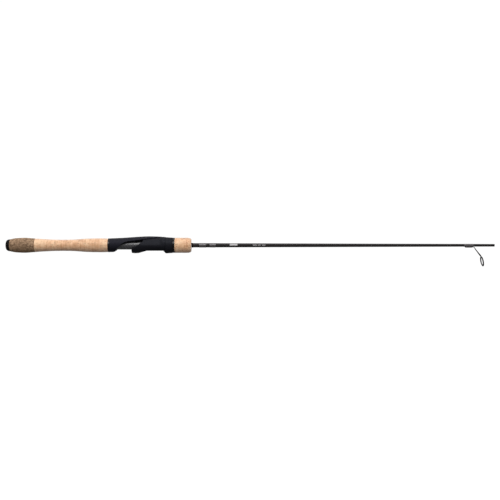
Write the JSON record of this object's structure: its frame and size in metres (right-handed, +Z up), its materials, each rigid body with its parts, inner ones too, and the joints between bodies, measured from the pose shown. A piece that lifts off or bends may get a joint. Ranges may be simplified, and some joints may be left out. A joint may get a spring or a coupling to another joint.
{
  "type": "fishing rod handle section",
  "caption": "Handle section of a light spinning rod: cork grip, skeleton reel seat with a screw-down hood, hook keeper, line guide and a plain joint end.",
  "frame": {"origin": "on the rod's axis where the hand closes round the reel's stem, above the middle of the reel foot's bed", "axes": "+X along the rod towards the tip, +Z up, away from the reel; the reel, the hoods' pockets and the line guide face -Z"},
  "size_m": [0.766, 0.024, 0.0472],
  "materials": {
    "cork": "sanded natural cork",
    "burl_cork": "sanded composite burl cork",
    "rubber": "matt black rubber",
    "soft_touch": "soft-touch coated",
    "seat_nylon": "moulded black nylon",
    "gloss_tube": "glossy dark grey",
    "gloss_trim": "gloss black",
    "carbon": "clear-coated carbon fibre",
    "arbor_foam": "rigid foam",
    "spring_steel": "plain spring steel",
    "black_steel": "black plated stainless steel",
    "ceramic": "polished black ceramic",
    "wrap": "thread under clear epoxy"
  },
  "bodies": {
    "handle": {"blank": "carbon", "butt_cap": "rubber", "butt_cork_ring_1": "burl_cork", "butt_cork_ring_2": "burl_cork", "butt_cork_ring_3": "burl_cork", "grip_cork_ring_1": "cork", "grip_cork_ring_2": "cork", "grip_cork_ring_3": "cork", "grip_cork_ring_4": "cork", "grip_cork_ring_5": "cork", "grip_cork_ring_6": "cork", "grip_cork_ring_7": "cork", "grip_cork_ring_8": "cork", "grip_cork_ring_9": "cork", "rear_trim_ring": "gloss_trim", "seat_core_tube": "gloss_tube", "seat_arbor_1": "arbor_foam", "seat_arbor_2": "arbor_foam", "seat_arbor_3": "arbor_foam", "seat_palm_shell": "soft_touch", "seat_barrel": "seat_nylon", "winding_check": "rubber", "hook_keeper": "black_steel", "keeper_wrap_rear": "wrap", "keeper_wrap_front": "wrap", "guide_frame": "black_steel", "guide_ring": "ceramic", "guide_wrap": "wrap"},
    "hood": {"moving_hood": "seat_nylon", "hood_clip": "spring_steel"},
    "nut": {"locking_nut": "seat_nylon", "front_trim_ring": "gloss_trim", "foregrip_cork_ring_1": "cork", "foregrip_cork_ring_2": "cork"}
  },
  "joints": [
    {"name": "hood_slide", "type": "slide", "parent": "handle", "child": "hood", "axis": [1, 0, 0], "range_m": [0, 0.01]},
    {"name": "nut_turn", "type": "hinge", "parent": "hood", "child": "nut", "pos_m": [0.04, 0, 0], "axis": [1, 0, 0], "range_deg": [0, 1800]}
  ],
  "couplings": [
    {"joint": "nut_turn", "follows": "hood_slide", "rad_per_m": 3141.6}
  ]
}
